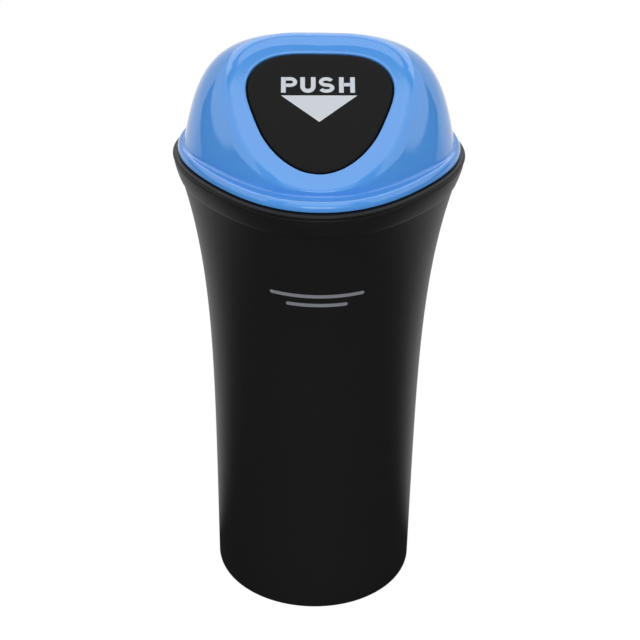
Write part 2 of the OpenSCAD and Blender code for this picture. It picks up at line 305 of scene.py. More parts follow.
def flap_reach(size, t):
    """Window radius about the flap's centre: gap + mean radius x (1 + lobes of third, fourth and sixth order)."""
    return size.flap_gap + size.flap_r * (1 + size.flap_lobe * np.cos(3 * t) + size.flap_lobe_4 * np.cos(4 * t)
                                          + size.flap_lobe_6 * np.cos(6 * t))


def lid_rings(size, around):
    """Rings of the lid from the skirt's foot over flange, dome, rounded edge and face, through the window and back in.
    Along a ring the angle a runs round the upright axis. The window's points lie in line with the face's edge, as seen
    from the flap's centre."""
    a = np.arange(around) * TURN / around
    zero, one = np.zeros_like(a), np.ones_like(a)
    flange_z, ledge_z, face_z = levels(size)
    ring = outline(size, a)
    foot = dome_point(size, a, zero)
    foot_r = np.hypot(foot[:, 0], foot[:, 1])
    # The dome's foot runs onto the ledge in a small hollow curve
    hollow_w, hollow_h = 0.55, 0.9
    v_low = np.full_like(a, hollow_h / size.dome_h)
    low = dome_point(size, a, v_low)
    # Where the dome meets the slanted face, and where the rounding of that edge begins
    v_meet = halve(lambda v: over_face(size, dome_point(size, a, v)) < 0, zero, one)
    corner = dome_point(size, a, v_meet)
    reach = np.minimum(size.edge_round, 0.7 * np.linalg.norm(corner - low, axis=-1))
    v_round = halve(lambda v: np.linalg.norm(dome_point(size, a, v) - corner, axis=-1) > reach, v_low, v_meet)
    start = dome_point(size, a, v_round)
    v_in = halve(lambda v: over_face(size, dome_point(size, a, v, size.lid_wall), size.lid_wall) < 0, zero, one)
    # The same points seen from the flap's centre, in the slanted face
    up = (corner[:, 1] + size.face_front) * math.cos(size.tilt) + (corner[:, 2] - face_z) * math.sin(size.tilt)
    t = np.arctan2(corner[:, 0], size.flap_centre - up)
    reach_t = flap_reach(size, t)

    def window(margin, n):
        """Ring of the window's outline, wider by a margin, at n over the face."""
        return on_face(size, (reach_t + margin) * np.sin(t), size.flap_centre - (reach_t + margin) * np.cos(t), n)

    def skirt(inset, z):
        """Skirt ring: the mouth's inside at a height, less the skirt's gap and a thickness."""
        return at(a, (bore_radius(size, z) - size.skirt_gap - inset) * outline(size, a, outline_share(size, z)), z)

    rim = window(0.0, 0.0)
    across = np.linalg.norm(rim - corner, axis=-1)
    inward = corner + (rim - corner) * np.minimum(size.edge_round / across, 0.8)[:, None]
    skirt_z = flange_z - size.skirt_h
    # The skirt's foot is bevelled, and its outside rises to the flange
    rings = [skirt(inset, z) for inset, z in ((0.6, skirt_z), (0.18, skirt_z + 0.3), (0, skirt_z + 1.0),
                                              (0, skirt_z + 3.5), (0, flange_z - 0.02))]
    bead = min(size.flange_round, size.ledge_w - 0.6)
    bead_z = ledge_z - 1.5 * bead
    seat = size.mouth_r - size.lip_w - size.skirt_gap - size.flange_r
    rings += [at(a, (size.flange_r + dr) * ring, z)
              for dr, z in section([(seat, flange_z, 0), (0, flange_z, 0.4), (0, bead_z, 0)], 7)]
    # The flange's top is a quarter of a flat ellipse, which makes the bead that catches the light
    rings += [at(a, (size.flange_r - bead * (1 - math.cos(u))) * ring, ledge_z - 1.5 * bead * (1 - math.sin(u)))
              for u in np.linspace(0, math.pi / 2, 16)[1:]]
    rings += [bend(k, at(a, foot_r + hollow_w, ledge_z), at(a, foot_r, ledge_z), low) for k in np.linspace(0, 1, 7)]
    rings += [dome_point(size, a, v_low + (v_round - v_low) * crowded(k)) for k in np.linspace(0, 1, 34)[1:]]
    # The ridge behind the face is crowned: its control points rise towards the back, and once more in its middle
    behind = np.clip(-np.cos(a), 0, 1)
    rise = size.crown * (2 - behind) * behind + size.crown_peak * behind ** 24
    crest = corner + np.array([0, 0, 1]) * rise[:, None]
    rings += [bend(k, start, crest, inward) for k in np.linspace(0, 1, 17)[1:]]
    # Over the flat of the face, round the window's rim, and through the window
    rings += [inward * (1 - k) + window(size.rim_round, 0.0) * k for k in (0.25, 0.5, 0.75, 0.92)]
    rings += [window(size.rim_round * (1 - math.sin(u)), -size.rim_round * (1 - math.cos(u)))
              for u in np.linspace(0, math.pi / 2, 8)]
    rings.append(window(0.0, -size.lid_wall))
    # Back down inside the dome and the skirt
    rings += [dome_point(size, a, v_in * crowded(k), size.lid_wall) for k in np.linspace(1, 0, 20)]
    rings.append(at(a, foot_r - size.lid_wall, ledge_z - size.lid_wall))
    rings += [skirt(size.skirt_t, z) for z in (ledge_z - size.lid_wall - 0.3, skirt_z + 3.5, skirt_z + 0.3)]
    return np.array(rings)


def prism(size, outline_sn, x0, x1):
    """A side view, as points (s, n) of the slanted face's axes, carried across from x0 to x1, with both ends closed."""
    p = np.asarray(outline_sn, float)
    n = len(p)
    points = np.vstack([on_face(size, x0, p[:, 0], p[:, 1]), on_face(size, x1, p[:, 0], p[:, 1])])
    faces = [[j, (j + 1) % n, n + (j + 1) % n, n + j][::-1] for j in range(n)]
    faces += [list(range(n)), list(range(2 * n - 1, n - 1, -1))]
    return points, faces


def hinge_place(size):
    """The hinge pin's distance up the face and height over it, and the distance up the face of the window's top."""
    top = size.flap_centre + float(flap_reach(size, np.array(math.pi)))
    return top - size.pin_back, -size.pin_deep, top


def build_lid(size, material):
    """The lid's rings joined all the way round, and a hinge lug under the window's top edge on each side."""
    rings = lid_rings(size, AROUND_LID)
    parts = [(rings, grid_faces(len(rings), AROUND_LID, wrap_rows=True)[:, ::-1])]
    s, n, top = hinge_place(size)
    r = size.knuckle_r
    lug_x = size.knuckle_x + size.knuckle_w / 2 + size.side_gap + size.lug_w / 2
    # The lug's side view: half round under the pin, and a stem that ends inside the lid's wall
    root = -size.lid_wall + 0.4
    stem_front, stem_back = top + 0.5, top + 2.8
    side = np.vstack([arc(s, n, r, r, 180, 270, 16),
                      [[s + 1.6, n - r], [stem_back, n + 1], [stem_back, root], [stem_front, root],
                       [stem_front, n + r], [s, n + r]],
                      arc(s, n, r, r, 90, 180, 16)[1:-1]])
    for x in (-lug_x, lug_x):
        parts.append(prism(size, side, x - size.lug_w / 2, x + size.lug_w / 2))
    points, faces = joined(parts)
    piece = new_piece("lid_moulding", points, faces, "lid", material, 50)
    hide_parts("lid_shell")


# ---------------- flap and hinge

def flap_levels(size):
    """Heights over the slanted face of the flap's top and of its rebate's top and underside."""
    rebate_top = -size.lid_wall - size.rebate_gap
    return -0.1, rebate_top, rebate_top - size.rebate_t


def build_flap(size, material):
    """The flap: rings of the window's outline at a margin and a height, from the middle of its face, round the rebate
    and back to the middle underneath."""
    t = np.arange(AROUND) * TURN / AROUND
    high, rebate_top, low = flap_levels(size)
    s, n, _ = hinge_place(size)
    reach = flap_reach(size, t)
    edge, soft = -size.flap_gap, 0.45
    inner, ceiling = edge - size.flap_t, high - size.flap_t
    inner_limit = s - size.knuckle_r - size.flap_t

    def ring(margin, height, limit=None, share=1.0):
        """The window's outline at a margin and a height, drawn towards the flap's centre by a share. Past the limit up
        the face, points slide back onto it, so that the panel's inside stops short of the hinge."""
        x = (reach + margin) * np.sin(t) * share
        up = size.flap_centre - (reach + margin) * np.cos(t) * share
        return on_face(size, x, up if limit is None else np.minimum(up, limit), height)

    # The rebate runs behind the window's edge, and ends 3 mm below the pin
    below = size.flap_centre - (reach + edge) * np.cos(t) < s - 3.0
    rebate = np.where(below, size.rebate_w, edge)
    middle = 0.02
    rings = [ring(edge, high, share=k) for k in (middle, 0.25, 0.5, 0.75, 0.9)]
    rings += [ring(edge - soft + soft * math.sin(u), high - soft * (1 - math.cos(u)))
              for u in np.linspace(0, math.pi / 2, 8)]
    rings += [ring(edge, rebate_top + 0.01), ring(rebate, rebate_top), ring(rebate, low), ring(inner, low),
              ring(inner, low, inner_limit), ring(inner, ceiling, inner_limit),
              ring(inner, ceiling, inner_limit, middle)]
    last = (len(rings) - 1) * AROUND
    ends = [list(range(AROUND)), [last + j for j in range(AROUND - 1, -1, -1)]]
    parts = [(np.array(rings), grid_faces(len(rings), AROUND).tolist() + ends)]
    bore = size.pin_r + size.pin_clear
    front, root = 1.2, low + 0.05
    for x in (-size.knuckle_x, size.knuckle_x):
        # A round eye of its own about the pin, and a web up to the panel
        x0, x1 = x - size.knuckle_w / 2, x + size.knuckle_w / 2
        parts.append(tube_ring(size, s, n, bore, size.knuckle_r, x0, x1))
        web = [[s - size.knuckle_r, n], [s - size.knuckle_r, root], [s + front, root],
               [s + front, n + math.sqrt(size.knuckle_r ** 2 - front ** 2) - 0.05], [s, n + bore + 0.3],
               [s - bore - 0.2, n + 0.2]]
        parts.append(prism(size, web[::-1], x0, x1))
    points, faces = joined(parts)
    piece = new_piece("flap_moulding", points, faces, "flap", material, 35)
    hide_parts("push_flap")


def tube_ring(size, s, n, inner, outer, x0, x1, steps=64):
    """A closed ring about the pin: a rectangle of inner and outer radius and of x0 to x1, its outer corners bevelled,
    carried round in a circle."""
    t = np.arange(steps) * TURN / steps
    bevel = 0.15
    corners = [(inner, x0), (outer - bevel, x0), (outer, x0 + bevel), (outer, x1 - bevel), (outer - bevel, x1),
               (inner, x1)]
    rings = np.array([on_face(size, x, s + r * np.cos(t), n + r * np.sin(t)) for r, x in corners])
    return rings.reshape(-1, 3), grid_faces(len(corners), steps, wrap_rows=True).tolist()


def build_spring(size, material):
    """The return spring: a circle carried along a coil about the pin, with a straight leg out of each end.
    Its coil twists from the lid's leg to the flap's, and each leg ends a touch under the lid or under the flap."""
    s, n, _ = hinge_place(size)
    high, _, _ = flap_levels(size)
    leg_front, leg_back, touch = math.radians(30), math.radians(60), 0.1
    leave_front, leave_back = 1.5 * math.pi - leg_front, 1.5 * math.pi + leg_back
    turned = TURN * size.coil_turns + leave_back - leave_front
    span = size.coil_turns * size.coil_pitch
    k = np.linspace(0, 1, 36 * size.coil_turns)
    a = leave_front + turned * k
    coil = np.stack([-span / 2 + span * k, s + size.coil_r * np.cos(a), n + size.coil_r * np.sin(a)], -1)

    def leg(rise, ceiling):
        """Length of a leg that rises at an angle from the coil until its wire lies a touch under a ceiling."""
        return (ceiling - size.wire_r - touch - n + size.coil_r * math.cos(rise)) / math.sin(rise)

    front = coil[0] + leg(leg_front, high - size.flap_t) * np.array([0, -math.cos(leg_front), math.sin(leg_front)])
    back = coil[-1] + leg(leg_back, -size.lid_wall) * np.array([0, math.cos(leg_back), math.sin(leg_back)])
    m = np.linspace(0, 1, 8)[:, None]
    path = np.vstack([front + (coil[0] - front) * m[:-1], coil, coil[-1] + (back - coil[-1]) * m[1:]])
    way = np.gradient(path, axis=0)
    way /= np.linalg.norm(way, axis=1)[:, None]
    side = np.cross(way, [1, 0, 0])
    side /= np.linalg.norm(side, axis=1)[:, None]
    up = np.cross(side, way)
    sides = 16
    u = (np.arange(sides) * TURN / sides)[None, :, None]
    rings = path[:, None] + size.wire_r * (side[:, None] * np.cos(u) + up[:, None] * np.sin(u))
    points = on_face(size, rings[..., 0], rings[..., 1], rings[..., 2])
    last = (len(path) - 1) * sides
    faces = grid_faces(len(path), sides).tolist() + [list(range(sides))[::-1], list(range(last, last + sides))]
    piece = new_piece("spring_wire", points, [f[::-1] for f in faces], None, material)
    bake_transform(piece)
    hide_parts("return_spring")


# ---------------- print

def stroke(path, width):
    """A band of a given width along a path of (x, y) points, mitred at its corners, as left and right edges."""
    p = np.asarray(path, float)
    p = p[np.r_[True, np.linalg.norm(np.diff(p, axis=0), axis=1) > 1e-6]]
    way = np.diff(p, axis=0)
    way /= np.linalg.norm(way, axis=1)[:, None]
    normal = np.stack([-way[:, 1], way[:, 0]], -1)
    before, after = np.vstack([normal[:1], normal]), np.vstack([normal, normal[-1:]])
    mitre = (before + after) / (1 + (before * after).sum(1))[:, None]
    return np.vstack([p + mitre * width / 2, p - mitre * width / 2])


def stroke_faces(count):
    """Quads between the two edges of a band of count points."""
    j = np.arange(count - 1)
    return np.stack([j, j + 1, count + j + 1, count + j], -1)


def letters():
    """Plain upright capitals on a cap height of 1, as (path, stroke width) bands: a word that tells how the flap works.
    Upright bands are as wide as a stem, and level and round ones a little thinner."""
    stem = 0.25
    half, thin, clear = stem / 2, stem * 0.86, stem * 0.9
    upright = np.array([[half, 0], [half, 1]])
    p = np.vstack([[[clear, 1 - thin / 2], [0.48, 1 - thin / 2]],
                   arc(0.5, 0.685, 0.25, 0.315 - thin / 2, 86, -86, 18),
                   [[0.48, 0.37 + thin / 2], [clear, 0.37 + thin / 2]]])
    u = np.vstack([[[half, 1], [half, 0.4]],
                   arc(0.41, 0.4, 0.41 - half, 0.41 - half, 184, 356, 26),
                   [[0.82 - half, 0.4], [0.82 - half, 1]]])
    s = np.vstack([arc(0.43, 0.696, 0.29, 0.304 - thin / 2, 22, 252, 26),
                   arc(0.44, 0.304, 0.315, 0.304 - thin / 2, 72, -158, 26)])
    far = 0.85
    bar = np.array([[clear, 0.52], [far - clear, 0.52]])
    return [[(upright, stem), (p, thin)], [(u, stem)], [(s, thin)],
            [(upright, stem), (upright + [far - stem, 0], stem), (bar, thin)]]


def build_flap_print(size, material):
    """Flat bands of the word over a solid pointer, just above the flap's face, all turned a little in that face."""
    lift = flap_levels(size)[0] + FLAP_PRINT_LIFT
    cap = size.word_height
    c, d = math.cos(size.word_turn), math.sin(size.word_turn)

    def laid(x, up):
        """Turns a point of the print about the left end of the pointer's top edge, and lays it on the face."""
        x, up = np.asarray(x, float) - size.pointer_left, np.asarray(up, float) - size.pointer_top
        return on_face(size, size.pointer_left + x * c - up * d, size.pointer_top + x * d + up * c, lift)

    parts = []
    for x0, bands in zip(size.word_starts, letters()):
        for path, width in bands:
            edge = stroke(path, width)
            band = laid(x0 + edge[:, 0] * cap, size.word_foot + edge[:, 1] * cap)
            parts.append((band, stroke_faces(len(edge) // 2)))
    left, right = size.pointer_left, size.pointer_right
    pointer = laid([left, (left + right) / 2, right], [size.pointer_top, size.pointer_tip, size.pointer_top])
    points, faces = joined(parts + [(pointer, [[0, 1, 2]])])
    new_piece("flap_print", points, faces, "flap", material)


def build_body_print(size, material):
    """Two plain level bars, one over the other, laid just over the front of the wall: x across and z up follow its
    curve."""
    columns, rows = 60, 5
    parts = []
    for x0, x1, z0, z1 in size.bars:
        half = (z1 - z0) / 2
        x = np.linspace(x0, x1, columns)
        # Round ends: the half height falls off as a circle within one half height of each end
        near = np.minimum(x - x0, x1 - x)
        rise = np.where(near < half, np.sqrt(np.clip(half ** 2 - (half - near) ** 2, 0, None)), half)
        z = (z0 + z1) / 2 + np.maximum(rise, 0.02)[None, :] * np.linspace(-1, 1, rows)[:, None]
        r = wall_radius(size, z)
        a = np.arcsin(x[None, :] / r)
        laid = at(a, r * outline(size, a, outline_share(size, z)) + WALL_PRINT_LIFT, z)
        parts.append((laid, grid_faces(rows, columns, wrap_columns=False)))
    points, faces = joined(parts)
    new_piece("body_print", points, faces, "bin", material)


# ---------------- finishes

def nodes_of(name):
    """A new material, its node tree and its Principled shader."""
    material = bpy.data.materials.new(name)
    material.use_nodes = True
    tree = material.node_tree
    return material, tree, tree.nodes["Principled BSDF"]


def node(tree, kind, **values):
    """Adds a node with its inputs by name: another node's output is linked, and any other value is set."""
    made = tree.nodes.new(kind)
    for key, value in values.items():
        if isinstance(value, bpy.types.NodeSocket):
            tree.links.new(value, made.inputs[key])
        else:
            made.inputs[key].default_value = value
    return made


def object_place(tree):
    """The piece's Object coordinates."""
    return tree.nodes.new("ShaderNodeTexCoord").outputs["Object"]


def roughened(tree, shader, source, low, high):
    """Lets a texture's value run the shader's roughness from low to high."""
    ramp = node(tree, "ShaderNodeMapRange", **{"Value": source, "To Min": low, "To Max": high})
    tree.links.new(ramp.outputs["Result"], shader.inputs["Roughness"])


def bumped(tree, shader, source, strength, distance):
    """Lets a texture's value raise the surface by a distance in metres."""
    bump = node(tree, "ShaderNodeBump", Strength=strength, Distance=distance, Height=source)
    tree.links.new(bump.outputs["Normal"], shader.inputs["Normal"])


def shade(colour, share):
    """A colour times a share."""
    return [c * share for c in colour]


def moulded(name, colour, other, roughness, spread, grain, depth, specular):
    """Moulded plastic: a colour that drifts softly to another one, and fine noise in the roughness and the bump."""
    material, tree, shader = nodes_of(name)
    place = object_place(tree)
    drift = node(tree, "ShaderNodeTexNoise", Vector=place, Scale=22.0, Detail=2.0, Roughness=0.5)
    fine = node(tree, "ShaderNodeTexNoise", Vector=place, Scale=grain, Detail=4.0, Roughness=0.6)
    mix = tree.nodes.new("ShaderNodeMix")
    mix.data_type = "RGBA"
    mix.inputs[6].default_value = (*colour, 1)
    mix.inputs[7].default_value = (*other, 1)
    tree.links.new(drift.outputs["Fac"], mix.inputs[0])
    tree.links.new(mix.outputs[2], shader.inputs["Base Color"])
    roughened(tree, shader, fine.outputs["Fac"], roughness - spread, roughness + spread)
    bumped(tree, shader, fine.outputs["Fac"], depth, 0.0001)
    shader.inputs["Specular IOR Level"].default_value = specular
    return material


def drawn_steel(name, colour, roughness):
    """Drawn steel: fine lines along X from stretched noise, in the roughness and the bump."""
    material, tree, shader = nodes_of(name)
    stretch = node(tree, "ShaderNodeMapping", Vector=object_place(tree), Scale=(60.0, 4000.0, 4000.0))
    lines = node(tree, "ShaderNodeTexNoise", Vector=stretch.outputs["Vector"], Scale=1.0, Detail=3.0)
    roughened(tree, shader, lines.outputs["Fac"], roughness * 0.7, roughness * 1.4)
    bumped(tree, shader, lines.outputs["Fac"], 0.15, 0.00002)
    shader.inputs["Base Color"].default_value = (*colour, 1)
    shader.inputs["Metallic"].default_value = 1.0
    return material


def either_ray(tree, *kinds):
    """1 for a ray of any of these kinds and 0 for the rest: the greatest of the Light Path's answers."""
    rays = tree.nodes.new("ShaderNodeLightPath")
    found = rays.outputs[kinds[0]]
    for kind in kinds[1:]:
        greatest = tree.nodes.new("ShaderNodeMath")
        greatest.operation = "MAXIMUM"
        tree.links.new(found, greatest.inputs[0])
        tree.links.new(rays.outputs[kind], greatest.inputs[1])
        found = greatest.outputs[0]
    return found


def mixed_shader(tree, share, first, second):
    """The first shader where the share is 0 and the second where it is 1."""
    mix = node(tree, "ShaderNodeMixShader", Fac=share)
    tree.links.new(first, mix.inputs[1])
    tree.links.new(second, mix.inputs[2])
    return mix.outputs[0]


def backdrop_material(name, shadow, glow):
    """White floor. The camera sees mostly plain white, and a lit share that keeps a faint shadow. In a reflection the
    sweep behind the object is white, and the table beside and in front of it is dark: the ramp is on how far back a
    point lies, as a share of its distance from the object."""
    material, tree, shader = nodes_of(name)
    tree.nodes.remove(shader)
    lit = node(tree, "ShaderNodeBsdfDiffuse", Color=(0.9, 0.9, 0.9, 1))
    plain = node(tree, "ShaderNodeEmission", Color=(1, 1, 1, 1), Strength=glow)
    share = tree.nodes.new("ShaderNodeMath")
    share.operation = "MULTIPLY"
    share.inputs[1].default_value = 1 - shadow
    tree.links.new(either_ray(tree, "Is Camera Ray", "Is Transmission Ray"), share.inputs[0])
    direct = mixed_shader(tree, share.outputs[0], lit.outputs[0], plain.outputs[0])
    unit = node(tree, "ShaderNodeVectorMath", Vector=object_place(tree))
    unit.operation = "NORMALIZE"
    parts = node(tree, "ShaderNodeSeparateXYZ", Vector=unit.outputs[0])
    back = node(tree, "ShaderNodeMapRange", **{"Value": parts.outputs["Y"], "From Min": 0.16, "From Max": 0.56,
                                               "To Min": 0.05, "To Max": 1.1})
    mirrored = node(tree, "ShaderNodeEmission", Color=(1, 1, 1, 1), Strength=back.outputs["Result"])
    final = mixed_shader(tree, either_ray(tree, "Is Glossy Ray"), direct, mirrored.outputs[0])
    tree.links.new(final, tree.nodes["Material Output"].inputs["Surface"])
    return material


# ---------------- settings

def length(name, text, default, low=0.0, high=400.0):
    """A length in millimetres."""
    return bpy.props.FloatProperty(name=name, description=text, default=default, min=low, max=high, precision=3)


def ratio(name, text, default, low=-1.0, high=10.0):
    """A number without a unit."""
    return bpy.props.FloatProperty(name=name, description=text, default=default, min=low, max=high, precision=4)


def colour(name, text, default):
    """A colour that the user may change."""
    return bpy.props.FloatVectorProperty(name=name, description=text, default=default, size=3, min=0, max=1,
                                         subtype="COLOR")


def angle(name, text, degrees):
    """An angle, given in degrees."""
    return bpy.props.FloatProperty(name=name, description=text, default=math.radians(degrees), subtype="ANGLE")


class BinSizes(bpy.types.PropertyGroup):
    """Sizes of the bin in millimetres: the construction's, and those of the crown, the rim and the print."""
    base_r: length("Foot radius", "Radius of the round foot", 32.5)
    mouth_z: length("Mouth height", "Height of the mouth above the floor", 150)
    mouth_r: length("Mouth radius", "Mean outside radius of the collar", 44.2)
    draft: length("Draft", "Draft of the straight wall, from foot to mouth", 0.8)
    flare: length("Flare", "How far the wall flares out by the mouth", 11.1)
    flare_power: ratio("Flare power", "A high one keeps the wall straight for longer", 4.68)
    mouth_long: ratio("Mouth length share", "Share drawn out to the front and the back", 0.0435)
    mouth_square: ratio("Mouth corner share", "Share by which the four corners stand out", 0.0345)
    wall: length("Wall", "Thickness of the bin's wall", 1.8)
    floor_t: length("Floor", "Thickness of the floor", 2.0)
    collar_h: length("Collar height", "Height of the collar", 8.1)
    collar_power: ratio("Collar power", "1 is straight, more turns it upright", 1.4)
    collar_step: length("Collar step", "How far the collar stands out", 0.35)
    lip_w: length("Lip width", "Width from the inside of the mouth to the collar", 2.4)
    lip_h: length("Lip height", "Height of the rolled lip", 1.4)
    lip_out: length("Lip reach", "How far the lip stands out", 0.25)
    foot_h: length("Foot height", "Height of the foot ring", 1.2)
    foot_w: length("Foot width", "Width of the foot ring", 2.6)
    flange_r: length("Flange radius", "Mean outside radius of the lid's flange", 42.9)
    flange_h: length("Flange height", "Height of the flange band", 2.8)
    flange_round: length("Flange rounding", "Rounding of the flange's top edge", 1.3)
    ledge_w: length("Ledge width", "Width of the ledge round the dome", 1.9)
    ledge_front: length("Ledge front", "How much wider the ledge is at the front", 2.4)
    dome_h: length("Dome height", "Height the dome would have with no slanted face", 33.2)
    dome_power: ratio("Dome power", "2 is an ellipse, more is squarer", 2.93)
    dome_lean: length("Dome lean", "How far the wall leans in over its height", 6.9)
    dome_forward: length("Dome forward", "How far the dome leans forward", 9.1)
    dome_corner: ratio("Dome corners", "Share turning three-cornered with height", 0.0825)
    dome_corner_2: ratio("Dome corners, squared", "Further share with the square of the height", 0.119)
    lid_wall: length("Lid wall", "Thickness of the lid", 1.8)
    skirt_h: length("Skirt depth", "Depth of the skirt in the mouth", 7.0)
    skirt_t: length("Skirt thickness", "Thickness of the skirt", 1.6)
    skirt_gap: length("Skirt gap", "Gap between skirt and mouth", 0.4)
    seat_gap: length("Seat gap", "Gap between flange and lip", 0.3)
    tilt: angle("Face tilt", "Tilt of the slanted face", 34.3)
    face_rise: length("Face rise", "Height of the slanted face over the ledge at its front", 3.3)
    face_front: length("Face front", "Distance of that point in front of the axis", 41.0124)
    crown: length("Ridge crown", "Rise of the ridge's control points behind the face", 1.7)
    crown_peak: length("Ridge peak", "Further rise of the ridge's control points in its middle", 0.45)
    rim_round: length("Rim rounding", "Rounding of the window's rim", 0.5)
    edge_round: length("Edge rounding", "Rounding of the slanted face's edge", 3.0)
    flap_r: length("Flap radius", "Mean radius of the flap", 20.3346)
    flap_centre: length("Flap centre", "Distance of the flap's centre up the face", 26.2977)
    flap_lobe: ratio("Flap corners", "Corner share of the flap", 0.102)
    flap_lobe_4: ratio("Flap flatness", "Fourth harmonic, which flattens its top", -0.021)
    flap_lobe_6: ratio("Flap corners, second", "Second harmonic of the corner share", 0.01)
    flap_gap: length("Flap gap", "Gap round the flap", 0.4)
    flap_t: length("Flap thickness", "Thickness of the flap's panel", 1.6)
    rebate_w: length("Rebate width", "Width of the rebate behind the window", 1.3)
    rebate_t: length("Rebate thickness", "Thickness of the rebate", 1.2)
    rebate_gap: length("Rebate gap", "Gap over the rebate", 0.35)
    pin_r: length("Pin radius", "Radius of the hinge pin", 1.0)
    pin_clear: length("Pin clearance", "Running clearance of the pin", 0.05)
    pin_back: length("Pin setback", "Distance of the pin down from the window's top", 2.0)
    pin_deep: length("Pin depth", "Depth of the pin below the face", 6.2)
    knuckle_r: length("Knuckle radius", "Radius of knuckles and lugs", 2.3)
    knuckle_w: length("Knuckle width", "Width of each knuckle", 2.6)
    lug_w: length("Lug width", "Width of each lug", 2.0)
    knuckle_x: length("Knuckle place", "Distance of each knuckle from the middle", 10.6)
    side_gap: length("Side gap", "Gap between knuckle and lug", 0.5)
    wire_r: length("Wire radius", "Radius of the spring's wire", 0.3)
    coil_r: length("Coil radius", "Mean radius of the spring's coil", 1.9)
    coil_turns: bpy.props.IntProperty(name="Coil turns", description="Turns of the spring", default=6, min=2, max=12)
    coil_pitch: length("Coil pitch", "Distance between turns", 0.9)
    word_height: length("Word height", "Cap height of the word on the flap", 5.35)
    word_foot: length("Word foot", "Distance of the word's foot up the face", 30.75)
    word_starts: bpy.props.FloatVectorProperty(name="Letter places", description="Left edge of each letter", size=4,
                                               default=(-11.1, -5.6, -0.45, 5.5))
    word_turn: angle("Print turn", "Turn of the print on the flap", 0.9)
    pointer_left: length("Pointer left", "Left end of the pointer's top edge", -11.1, -30)
    pointer_right: length("Pointer right", "Right end of the pointer's top edge", 10.7, -30)
    pointer_top: length("Pointer top", "Distance of the pointer's top edge up the face", 29.8)
    pointer_tip: length("Pointer tip", "Distance of the pointer's tip up the face", 20.8)

    @property
    def bars(self):
        """The two bars on the wall, as left, right, foot and top."""
        return ((-13.6, 13.6, 119.6, 120.8), (-8.8, 8.8, 116.4, 117.6))


class BinFinishes(bpy.types.PropertyGroup):
    """Colours of the bin."""
    lid_blue: colour("Lid blue", "Colour of the lid", (0.090, 0.322, 0.79))
    lid_deep: colour("Lid deep blue", "Deeper drift of the lid's colour", (0.084, 0.306, 0.765))
    bin_black: colour("Bin black", "Colour of the bin", (0.009, 0.009, 0.0095))
    flap_black: colour("Flap black", "Colour of the flap", (0.006, 0.006, 0.0065))
    print_grey: colour("Print grey", "Colour of the print on the flap", (0.57, 0.605, 0.66))
    bar_grey: colour("Bar grey", "Colour of the bars on the wall", (0.20, 0.21, 0.23))
    steel: colour("Steel", "Colour of pin and spring", (0.60, 0.61, 0.63))


def sizes():
    """The sizes that the scene holds."""
    return bpy.context.scene.bin_sizes


def finishes():
    """The colours that the scene holds."""
    return bpy.context.scene.bin_finishes


# ---------------- operators

class BIN_OT_body(bpy.types.Operator):
    """Builds the flared bin"""
    bl_idname = "litterbin.body"
    bl_label = "Bin body"

    def execute(self, context):
        black = finishes().bin_black
        build_body(sizes(), moulded("bin_satin_black", black, shade(black, 1.15), roughness=0.42, spread=0.05,
                                    grain=2600.0, depth=0.25, specular=0.13))
        return {"FINISHED"}


class BIN_OT_lid(bpy.types.Operator):
    """Builds the domed lid with its flange, slanted face and hinge lugs"""
    bl_idname = "litterbin.lid"
    bl_label = "Lid"

    def execute(self, context):
        blue, deep = finishes().lid_blue, finishes().lid_deep
        build_lid(sizes(), moulded("lid_gloss_blue", blue, deep, roughness=0.075, spread=0.015,
                                   grain=900.0, depth=0.03, specular=0.5))
        return {"FINISHED"}


class BIN_OT_flap(bpy.types.Operator):
    """Builds the push flap with its rebate and hinge knuckles"""
    bl_idname = "litterbin.flap"
    bl_label = "Push flap"

    def execute(self, context):
        black = finishes().flap_black
        build_flap(sizes(), moulded("flap_satin_black", black, shade(black, 1.2), roughness=0.5, spread=0.05,
                                    grain=2600.0, depth=0.3, specular=0.05))
        return {"FINISHED"}


class BIN_OT_hinge(bpy.types.Operator):
    """Builds the return spring and gives the hinge pin its steel"""
    bl_idname = "litterbin.hinge"
    bl_label = "Hinge pin and spring"

    def execute(self, context):
        steel = finishes().steel
        build_spring(sizes(), drawn_steel("spring_wire_steel", shade(steel, 0.8), 0.3))
        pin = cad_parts["hinge_pin"]
        pin.data.materials.clear()
        pin.data.materials.append(drawn_steel("pin_drawn_steel", steel, 0.22))
        return {"FINISHED"}


class BIN_OT_print(bpy.types.Operator):
    """Lays the print on the flap and on the wall"""
    bl_idname = "litterbin.print"
    bl_label = "Print"

    def execute(self, context):
        ink = {"roughness": 0.5, "spread": 0.05, "grain": 3000.0, "depth": 0.1, "specular": 0.3}
        pale, grey = finishes().print_grey, finishes().bar_grey
        build_flap_print(sizes(), moulded("flap_ink", pale, shade(pale, 0.96), **ink))
        build_body_print(sizes(), moulded("wall_ink", grey, shade(grey, 0.9), **ink))
        return {"FINISHED"}


class BIN_OT_studio(bpy.types.Operator):
    """Sets up floor, light, world and camera"""
    bl_idname = "litterbin.studio"
    bl_label = "Studio"

    def execute(self, context):
        build_studio(context.scene)
        return {"FINISHED"}


class BIN_PT_panel(bpy.types.Panel):
    """Lists the bin's pieces"""
    bl_idname = "BIN_PT_panel"
    bl_label = "Litter bin"
    bl_space_type = "VIEW_3D"
    bl_region_type = "UI"
    bl_category = "Litter bin"

    def draw(self, context):
        for operator in PIECES:
            self.layout.operator(operator.bl_idname)


PIECES = (BIN_OT_body, BIN_OT_lid, BIN_OT_flap, BIN_OT_hinge, BIN_OT_print, BIN_OT_studio)
CLASSES = (BinSizes, BinFinishes) + PIECES + (BIN_PT_panel,)


# ---------------- studio

